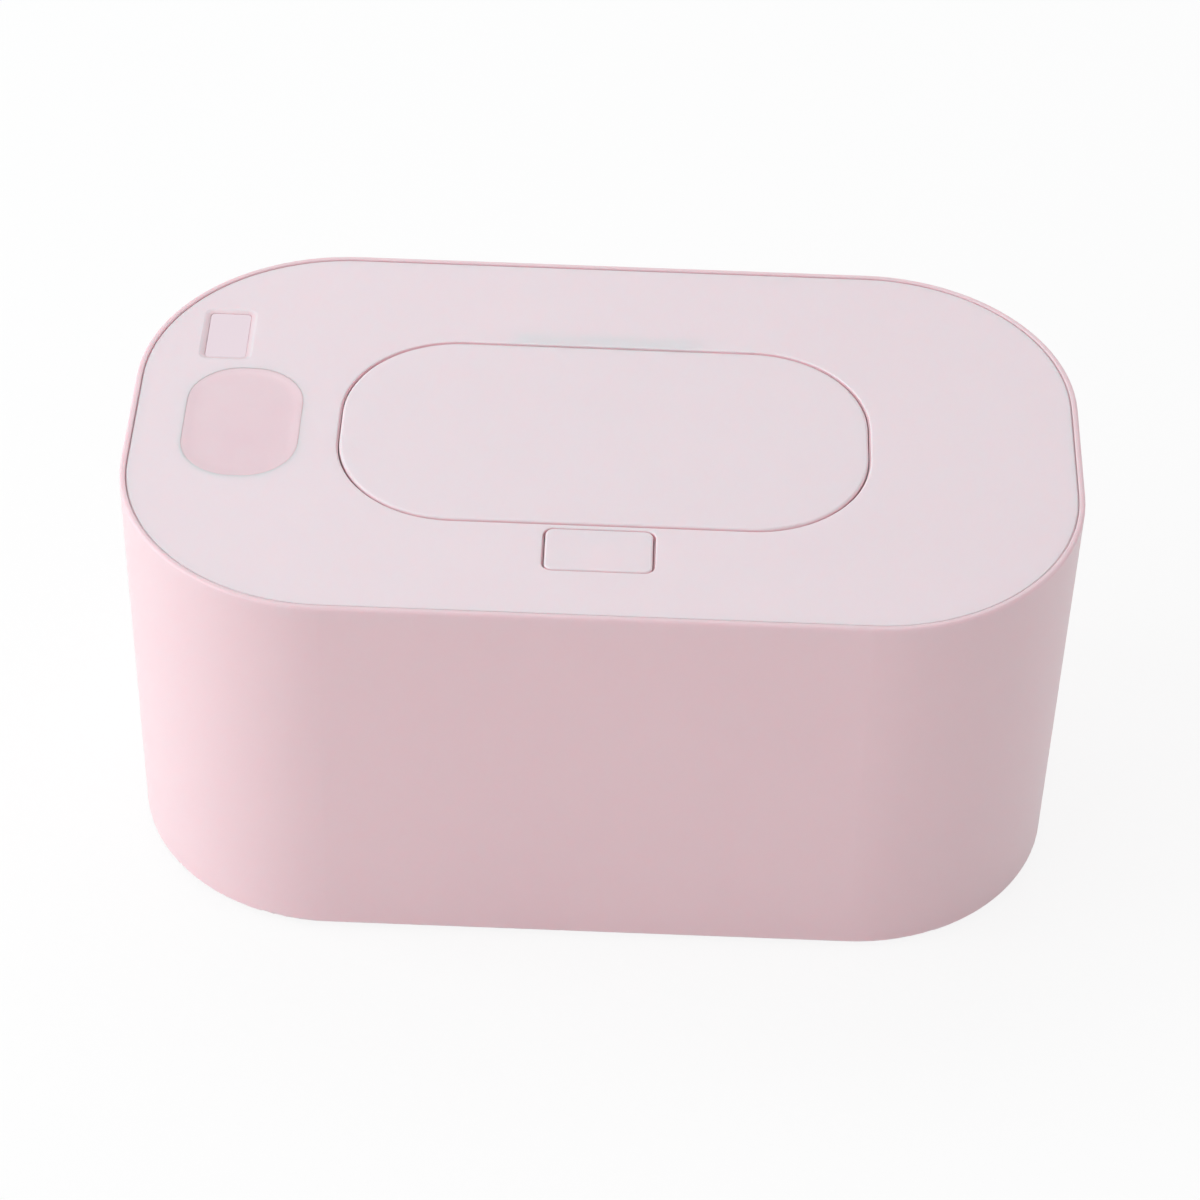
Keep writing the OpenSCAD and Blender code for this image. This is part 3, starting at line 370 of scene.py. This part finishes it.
# %% Feet
low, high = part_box("rubber_feet")
foot_r, foot_h = 6.5, (high[2] - low[2]) / MM
bm = bmesh.new()
spun(bm, [(0, 0.4), (1.2, 0.4), (1.5, 0.05), (2.2, 0.05), (2.5, 0.4), (3.2, 0.4), (3.5, 0.0),
          (4.2, 0.0), (4.5, 0.4), (5.0, 0.4), (5.3, 0.0), (5.9, 0.0), (6.25, 0.12), (6.45, 0.35),
          (foot_r, 0.6), (foot_r, foot_h), (0, foot_h)], 64)
copies(bm, corners("rubber_feet", foot_r))
hand_over("grip_feet", bm, feet_rubber, "body", "feet_rubber", "rubber_feet")

# %% [markdown]
# ## Screws with a thread and a cross recess
# A pan-head screw is spun too, thread rings and all, with a hole left in its head. A
# cross of twelve points is drawn in that hole, bridge_loops joins the two rims, and
# the cross is extruded into the head and closed.

# %% One screw, head down
def pan_screw(bm, shank, head, head_h, length, pitch=0.7):
    rim = 0.62 * head
    turns = int((length - head_h - 0.8) / pitch)
    thread = []
    for k in range(turns):
        z = head_h + 0.3 + k * pitch
        thread += [(shank - 0.2, z), (shank, z + 0.35 * pitch)]
    spun(bm, [(rim, 0), (0.84 * head, 0.12 * head_h), (0.95 * head, 0.35 * head_h),
              (head, 0.7 * head_h), (head, head_h), (shank - 0.2, head_h), *thread,
              (shank - 0.2, length - 0.5), (0.4 * shank, length), (0, length)], 36)
    on_rim = [e for e in bm.edges if all(abs(v.co.z) < TINY for v in e.verts)]
    long, thin = 0.5 * head, 0.13 * head
    cross = [(long, thin), (thin, thin), (thin, long), (-thin, long), (-thin, thin),
             (-long, thin), (-long, -thin), (-thin, -thin), (-thin, -long), (thin, -long),
             (thin, -thin), (long, -thin)]
    drawn = profile(bm, [(x, y, 0) for x, y in cross], closed=True)
    sides = only(BMEdge, drawn)
    bmesh.ops.bridge_loops(bm, edges=on_rim + sides)
    deep = bmesh.ops.extrude_edge_only(bm, edges=sides)["geom"]
    bmesh.ops.translate(bm, verts=only(BMVert, deep), vec=(0, 0, 0.6 * head_h * MM))
    bmesh.ops.contextual_create(bm, geom=only(BMEdge, deep))


# %% Four sets of screws
SHANK, HEAD, HEAD_H = 1.2, 2.6, 1.5
for name, body in (("body_screws", "body"), ("cover_screws", "cover"), ("heater_screws", "cover")):
    low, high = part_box(name)
    bm = bmesh.new()
    pan_screw(bm, SHANK, HEAD, HEAD_H, (high[2] - low[2]) / MM)
    copies(bm, corners(name, HEAD))
    hand_over(name + "_cross", bm, plated_steel, body, "steel", name)

small_shank, small_head, small_head_h, small_pitch = 0.9, 1.9, 1.0, 0.5
low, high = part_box("board_screws")
left, right = low[0] + small_head * MM, high[0] - small_head * MM
front, rear = low[1] + small_head * MM, high[1] - small_head * MM
bm = bmesh.new()
pan_screw(bm, small_shank, small_head, small_head_h, (high[2] - low[2]) / MM, small_pitch)
copies(bm, [Vector((x, y, low[2])) for x, y in ((right, rear), (right, front), (left, front))])
hand_over("board_screws_cross", bm, plated_steel, "cover", "steel", "board_screws")

# %% [markdown]
# ## Springs of round wire
# The CAD winds its springs as six-sided tubes. Here a small circle is spun with a step
# along the axis as well, which is all that a helix is. The touch spring also closes
# in towards its top, so its points are moved inwards by their height.

# %% Wind a spring along Z
WIRE_SIDES = 10


def wound(bm, radius, wire, turns, rise, per_turn=28):
    steps = round(turns * per_turn)
    upright = Matrix.Translation((radius * MM, 0, 0)) @ Matrix.Rotation(math.pi / 2, 4, "X")
    ring = bmesh.ops.create_circle(bm, segments=WIRE_SIDES, radius=wire * MM,
                                   matrix=upright)["verts"]
    edges = list({e for v in ring for e in v.link_edges})
    bmesh.ops.spin(bm, geom=ring + edges, cent=(0, 0, 0), axis=(0, 0, 1), angle=math.tau * turns,
                   dvec=(0, 0, rise * MM / steps), steps=steps)
    bmesh.ops.holes_fill(bm, edges=bm.edges, sides=WIRE_SIDES)


# %% The touch spring, wide below
low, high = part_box("touch_spring")
middle = (low + high) / 2
wire, narrower = 0.25, 1.4
rise = (high[2] - low[2]) / MM - 2 * wire
bm = bmesh.new()
wound(bm, 3.6, wire, 4, rise)
for v in bm.verts:
    away = Vector((v.co.x, v.co.y, 0)).normalized()
    v.co -= away * (narrower * MM * v.co.z / (rise * MM))
bmesh.ops.translate(bm, verts=bm.verts, vec=(middle[0], middle[1], low[2] + wire * MM))
hand_over("touch_spring_wire", bm, plated_steel, "cover", "steel", "touch_spring")

# %% The lid's torsion spring, round its pin
low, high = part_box("lid_spring")
middle = (low + high) / 2
wire = 0.2
rise = (high[0] - low[0]) / MM - 2 * wire
bm = bmesh.new()
wound(bm, 0.88, wire, 11, rise, 20)
along_x = Matrix.Rotation(math.pi / 2, 3, "Y")
bmesh.ops.rotate(bm, verts=bm.verts, cent=(0, 0, 0), matrix=along_x)
bmesh.ops.translate(bm, verts=bm.verts, vec=(low[0] + wire * MM, middle[1], middle[2]))
hand_over("lid_spring_wire", bm, plated_steel, "cover", "steel", "lid_spring")

# %% The latch spring, which the latch squeezes
low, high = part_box("latch_spring")
middle = (low + high) / 2
wire, travel = 0.25, 1.5
whole = (high[1] - low[1]) / MM
bm = bmesh.new()
wound(bm, 1.5, wire, 6, whole - 2 * wire)
along_y = Matrix.Rotation(math.pi / 2, 3, "X")
bmesh.ops.rotate(bm, verts=bm.verts, cent=(0, 0, 0), matrix=along_y)
bmesh.ops.translate(bm, verts=bm.verts, vec=(0, high[1] - wire * MM, middle[2]))
spring = hand_over("latch_spring_wire", bm, plated_steel, "cover", "steel", "latch_spring")
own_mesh(spring)

# %% [markdown]
# ## Soft guide and lid seal
# The wipes come up through a moulded silicone guide with a rolled lip. The lid closes
# on the guide's collar with a bulb seal. Both run round the same slot, so both are
# closed profiles with their quarters moved apart along X only. The seal between the
# cover and the tub has two lips, and it follows a rounded rectangle.

# %% The slot that both rings run round, in millimetres
def slot_ring(name):
    low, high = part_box(name)
    outer_r = (high[1] - low[1]) / 2 / MM
    return outer_r, (high[0] - low[0]) / 2 / MM - outer_r, low[2] / MM, high[2] / MM


RING_STEPS = 96
print("guide's radius, half straight, bottom and top:", [round(v, 2) for v in slot_ring("wipe_guide")])

# %% Guide with a rolled lip and two ribs
outer_r, apart_x, z0, z1 = slot_ring("wipe_guide")
inner_r = outer_r - 7.5
groove = z1 - 0.2
bm = bmesh.new()
spun(bm, [(outer_r, z1 - 1.2), (outer_r, z1 - 0.2), (outer_r - 0.2, z1), (14.7, z1),
          (14.45, groove), (13.95, groove), (13.7, z1), (13.1, z1), (12.85, groove),
          (12.35, groove), (12.1, z1), (11.4, z1 - 0.06), (10.7, z1 - 0.28),
          (10.1, z1 - 0.7), (inner_r + 0.2, z1 - 1.3),
          (inner_r, z1 - 2.0), (inner_r + 0.1, z0 + 1.0), (inner_r + 0.4, z0 + 0.4),
          (inner_r + 1.0, z0), (12.2, z0), (12.7, z0 + 0.3), (12.8, z0 + 0.8), (12.8, z1 - 1.2)],
     RING_STEPS, closed=True, apart=(apart_x, 0))
hand_over("wipe_guide_lip", bm, guide_silicone, "cover", "white_guide", "wipe_guide", crease=50)

# %% Bulb seal under the lid
outer_r, apart_x, z0, z1 = slot_ring("lid_seal")
half_band, bulb_w, bulb_h = 1.1, 1.08, 1.05
mid = outer_r - half_band
bulb = [(mid + bulb_w * math.cos(a), z0 + bulb_h - bulb_h * math.sin(a))
        for a in (math.radians(d) for d in range(0, 181, 20))]
bm = bmesh.new()
spun(bm, [(outer_r, z1), (outer_r, z1 - 0.4), (mid + 0.85, z1 - 0.8), *bulb, (mid - 0.85, z1 - 0.8),
          (mid - half_band, z1 - 0.4), (mid - half_band, z1)],
     RING_STEPS, closed=True, apart=(apart_x, 0))
hand_over("lid_seal_bulb", bm, seal_silicone, "flip_lid", "silicone", "lid_seal", crease=50)

# %% Seal under the cover, with two lips
low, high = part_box("cover_seal")
half = (high - low) / 2 / MM
z0, z1 = low[2] / MM, high[2] / MM
outer_r, inner_r = 41.5, 38.7
outer_lip = [(outer_r - 0.1, z0 + 0.6), (outer_r - 0.3, z0 + 0.12), (outer_r - 0.65, z0),
             (outer_r - 0.95, z0 + 0.15)]
inner_lip = [(inner_r + 0.95, z0 + 0.15), (inner_r + 0.65, z0), (inner_r + 0.3, z0 + 0.12),
             (inner_r + 0.1, z0 + 0.6)]
bm = bmesh.new()
spun(bm, [(outer_r, z1), (outer_r, z1 - 0.55), (outer_r - 0.3, z1 - 0.85), *outer_lip,
          (outer_r - 1.4, z0 + 0.7), *inner_lip, (inner_r + 0.3, z1 - 0.85),
          (inner_r, z1 - 0.55), (inner_r, z1)],
     128, closed=True, apart=(half[0] - outer_r, half[1] - outer_r))
hand_over("cover_seal_lips", bm, seal_silicone, "cover", "silicone", "cover_seal", crease=50)

# %% [markdown]
# ## Touch pad and display window
# The pad is a thin cap, dished like a shallow saucer so that a thumb finds it. The
# window is a frosted plate with a fine bevel, sunk below its own slope in the panel.
# Both are pressed in, so each is drawn a hair wider than its solid.

# %% A rounded plate: profile from the middle's edge outwards, holes filled
SNUG = 0.04


def plate(bm, name, points, corner_r):
    low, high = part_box(name)
    half, middle = (high - low) / 2 / MM, (low + high) / 2
    wider = [(r + SNUG, z) for r, z in points]
    spun(bm, wider, 80, apart=(half[0] - corner_r, half[1] - corner_r))
    bmesh.ops.holes_fill(bm, edges=bm.edges, sides=0)
    bmesh.ops.translate(bm, verts=bm.verts, vec=(middle[0], middle[1], 0))


# %% The dished touch pad
low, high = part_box("touch_pad")
z0, z1 = low[2] / MM, high[2] / MM
pad_r, dish = 11.5, z1 - 0.24
bm = bmesh.new()
plate(bm, "touch_pad", [(0.5, z0), (pad_r, z0), (pad_r, z1 - 0.06), (11.4, z1), (11.15, z1 - 0.01),
                        (10.7, z1 - 0.05), (10.2, z1 - 0.11), (9.7, z1 - 0.17), (9.1, z1 - 0.21),
                        (8.3, z1 - 0.235), (6.5, dish), (0.5, dish)], pad_r)
hand_over("touch_pad_dish", bm, pad_pink, "cover", "pad_pink", "touch_pad", crease=60)

# %% The frosted window
low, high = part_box("display_window")
z0, z1 = low[2] / MM, high[2] / MM
corner_r, bevel = 1.0, 0.15
bm = bmesh.new()
plate(bm, "display_window", [(bevel, z0), (corner_r - bevel, z0), (corner_r, z0 + bevel),
                             (corner_r, z1 - bevel), (corner_r - bevel, z1), (bevel, z1)], corner_r)
hand_over("frosted_window", bm, window_pink, "cover", "window_pink", "display_window")

# %% [markdown]
# ## Contacts in the power inlet
# The inlet is a small oval socket with a tongue. What makes it read as a connector is
# its two rows of gold-plated contacts, so each one is a bevelled strip on the tongue.

# %% Two rows of contacts
contact_gold = metal("contact_gold", srgb(214, 174, 92), srgb(232, 196, 118), 0.24)
low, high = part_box("inlet_socket")
mid_z, mouth = (low[2] + high[2]) / 2, high[1]
in_a_row, pitch, deep, off_tongue = 12, 0.5, 3.4, 0.365
bm = bmesh.new()
strip = Matrix.Diagonal((0.24 * MM, 3.6 * MM, 0.05 * MM, 1))
bmesh.ops.create_cube(bm, size=1.0, matrix=strip)
bmesh.ops.bevel(bm, geom=bm.edges[:], offset=0.015 * MM, segments=2, profile=0.5,
                affect="EDGES", material=-1)
copies(bm, [Vector(((k - (in_a_row - 1) / 2) * pitch * MM, mouth - deep * MM,
                    mid_z + side * off_tongue * MM))
            for side in (-1, 1) for k in range(in_a_row)])
hand_over("inlet_contacts", bm, contact_gold, "cover", "socket_steel")

# %% [markdown]
# ## Dress the CAD nodes
# A node whose shape is already right keeps its mesh and only gets a finish.

# %% Finishes by node
dress = {
    shell_pink: ["outer_shell"],
    # the painted sheen on the flat top reaches the lid and the button as well
    panel_pink: ["cover_panel", "lid_outer", "release_button"],
    liner_white: ["inner_liner"],
    base_white: ["cover_base", "lid_inner", "latch_slider", "lead_socket"],
    wrap_foam: ["insulation_wrap", "insulation_pad", "heater_pad"],
    plated_steel: ["hinge_pin"],
    socket_steel: ["inlet_socket"],
    rolled_plate: ["heating_plate"],
    film_amber: ["heater_film"],
    board_green: ["control_board", "inlet_board"],
    chip_black: ["thermistor", "display_module", "microcontroller", "buzzer", "heater_switch"],
    fuse_white: ["thermal_fuse"],
    lead_skin: ["heater_leads", "inlet_leads"],
}
for finish, names in dress.items():
    for name in names:
        node[name].data.materials.clear()
        node[name].data.materials.append(finish)
print("dressed", sum(len(names) for names in dress.values()), "of", len(node), "nodes")

# %% [markdown]
# ## Floor, light and camera
# The photograph is a cut-out on white, lit softly from the left and from above. The
# floor and the world show white to the camera, but they light the object only as
# plain paper and a dim studio would. The floor keeps a soft shadow. It lies a hair
# below the feet, because two faces in one plane would fight for the same pixels.

# %% The floor and the world
WHITE, STUDIO_LEVEL, GLOW_SHARE = 1.0, 0.42, 0.86


def seen_by(tree, *rays):
    masks = [tree.add("LightPath", output=ray) for ray in rays]
    return tree.add("Math", {"operation": "MAXIMUM"}, *masks)


def white_stage(name):
    f = Finish(name)
    f.set(Base_Color=(0.9, 0.9, 0.9, 1), Roughness=0.9, Specular_IOR_Level=0.1)
    glow = f.add("Emission", None, Strength=WHITE)
    paper = Value(f, f.shader.outputs[0])
    share = seen_by(f, "Is Camera Ray", "Is Glossy Ray") * GLOW_SHARE
    mixed = f.add("MixShader", None, share, paper, glow)
    f.link(mixed, f.tree.nodes["Material Output"].inputs["Surface"])
    return f.material


bm = bmesh.new()
bmesh.ops.create_circle(bm, cap_ends=True, segments=64, radius=4.0,
                        matrix=Matrix.Translation((0, 0, -0.05 * MM)))
floor_mesh = bpy.data.meshes.new("floor")
bm.to_mesh(floor_mesh)
bm.free()
floor_mesh.materials.append(white_stage("floor_white"))
floor = bpy.data.objects.new("floor", floor_mesh)
bpy.context.scene.collection.objects.link(floor)

world = bpy.data.worlds.new("studio")
bpy.context.scene.world = world
world.use_nodes = True
sky = Nodes(world.node_tree)
background = sky.tree.nodes["Background"].inputs
level = sky.add("MapRange", None, Value=seen_by(sky, "Is Camera Ray", "Is Transmission Ray"),
                To_Min=STUDIO_LEVEL, To_Max=WHITE)
sky.link(level, background["Strength"])
sky.link((1, 1, 1, 1), background["Color"])
print("floor and world, which light the object at", STUDIO_LEVEL)

# %% [markdown]
# ## Four soft lamps
# A large lamp on the left is the key, one above and behind lights the cover, and two
# fill the front and the right. Area lamps of about a metre give the soft change of
# tone round the corners. The key is a little cool, so that the red of the wall that
# is nearest to it stays below white.

# %% Soft lamps
def lamp(name, place, aim, width, height, watts, tint=(1.0, 1.0, 1.0)):
    data = bpy.data.lights.new(name, "AREA")
    data.color = tint
    data.shape, data.size, data.size_y, data.energy = "RECTANGLE", width, height, watts
    made = bpy.data.objects.new(name, data)
    made.location = place
    made.rotation_euler = (Vector(aim) - Vector(place)).to_track_quat("-Z", "Y").to_euler()
    bpy.context.scene.collection.objects.link(made)


lamp("key_left", (-1.5, 0.0, 1.0), (0, 0, 0.05), 1.2, 1.0, 15.2, (0.92, 1.0, 1.0))
lamp("top_back", (-0.2, 0.9, 1.7), (0, 0, 0.09), 1.4, 1.0, 9.3)
lamp("fill_front", (-1.47, -1.15, 0.7), (0, 0, 0.05), 1.2, 0.9, 11.4)
lamp("fill_right", (1.7, -0.1, 0.7), (0, 0, 0.05), 1.0, 0.8, 4)
print("four lamps")

# %% [markdown]
# ## The camera
# The camera stands where the photographer's did. Its angles, distance and focal
# length were fitted to the outline, the rim and the lid, with the focal length and
# the shift in pixels of the square picture. It is turned by a matrix built from its
# own three directions, which avoids any doubt about the order of angles.

# %% The photograph's camera
PICTURE, FOCAL, SHIFT_X, SHIFT_Y = 1200, 4100.75, 0.783, 19.124
SENSOR, DISTANCE, AIM_Z = 36.0, 0.917, 0.041
azimuth, elevation, roll = math.radians(0.766), math.radians(41.838), math.radians(1.650)
back = Vector((math.sin(azimuth) * math.cos(elevation), -math.cos(azimuth) * math.cos(elevation),
               math.sin(elevation)))
right = (-back).cross(Vector((0, 0, 1))).normalized()
up = right.cross(-back)
across = right * math.cos(roll) + up * math.sin(roll)
upwards = up * math.cos(roll) - right * math.sin(roll)
camera_data = bpy.data.cameras.new("camera")
camera_data.sensor_width = SENSOR
camera_data.lens = SENSOR * FOCAL / PICTURE
camera_data.shift_x, camera_data.shift_y = SHIFT_X / PICTURE, SHIFT_Y / PICTURE
camera_data.clip_start, camera_data.clip_end = 0.05, 20
camera = bpy.data.objects.new("camera", camera_data)
camera.matrix_world = Matrix((across, upwards, back)).transposed().to_4x4()
camera.location = back * DISTANCE + Vector((0, 0, AIM_Z))
bpy.context.scene.collection.objects.link(camera)
bpy.context.scene.camera = camera
bpy.context.scene.view_settings.view_transform = "Standard"
print("camera at", [round(v, 3) for v in camera.location])
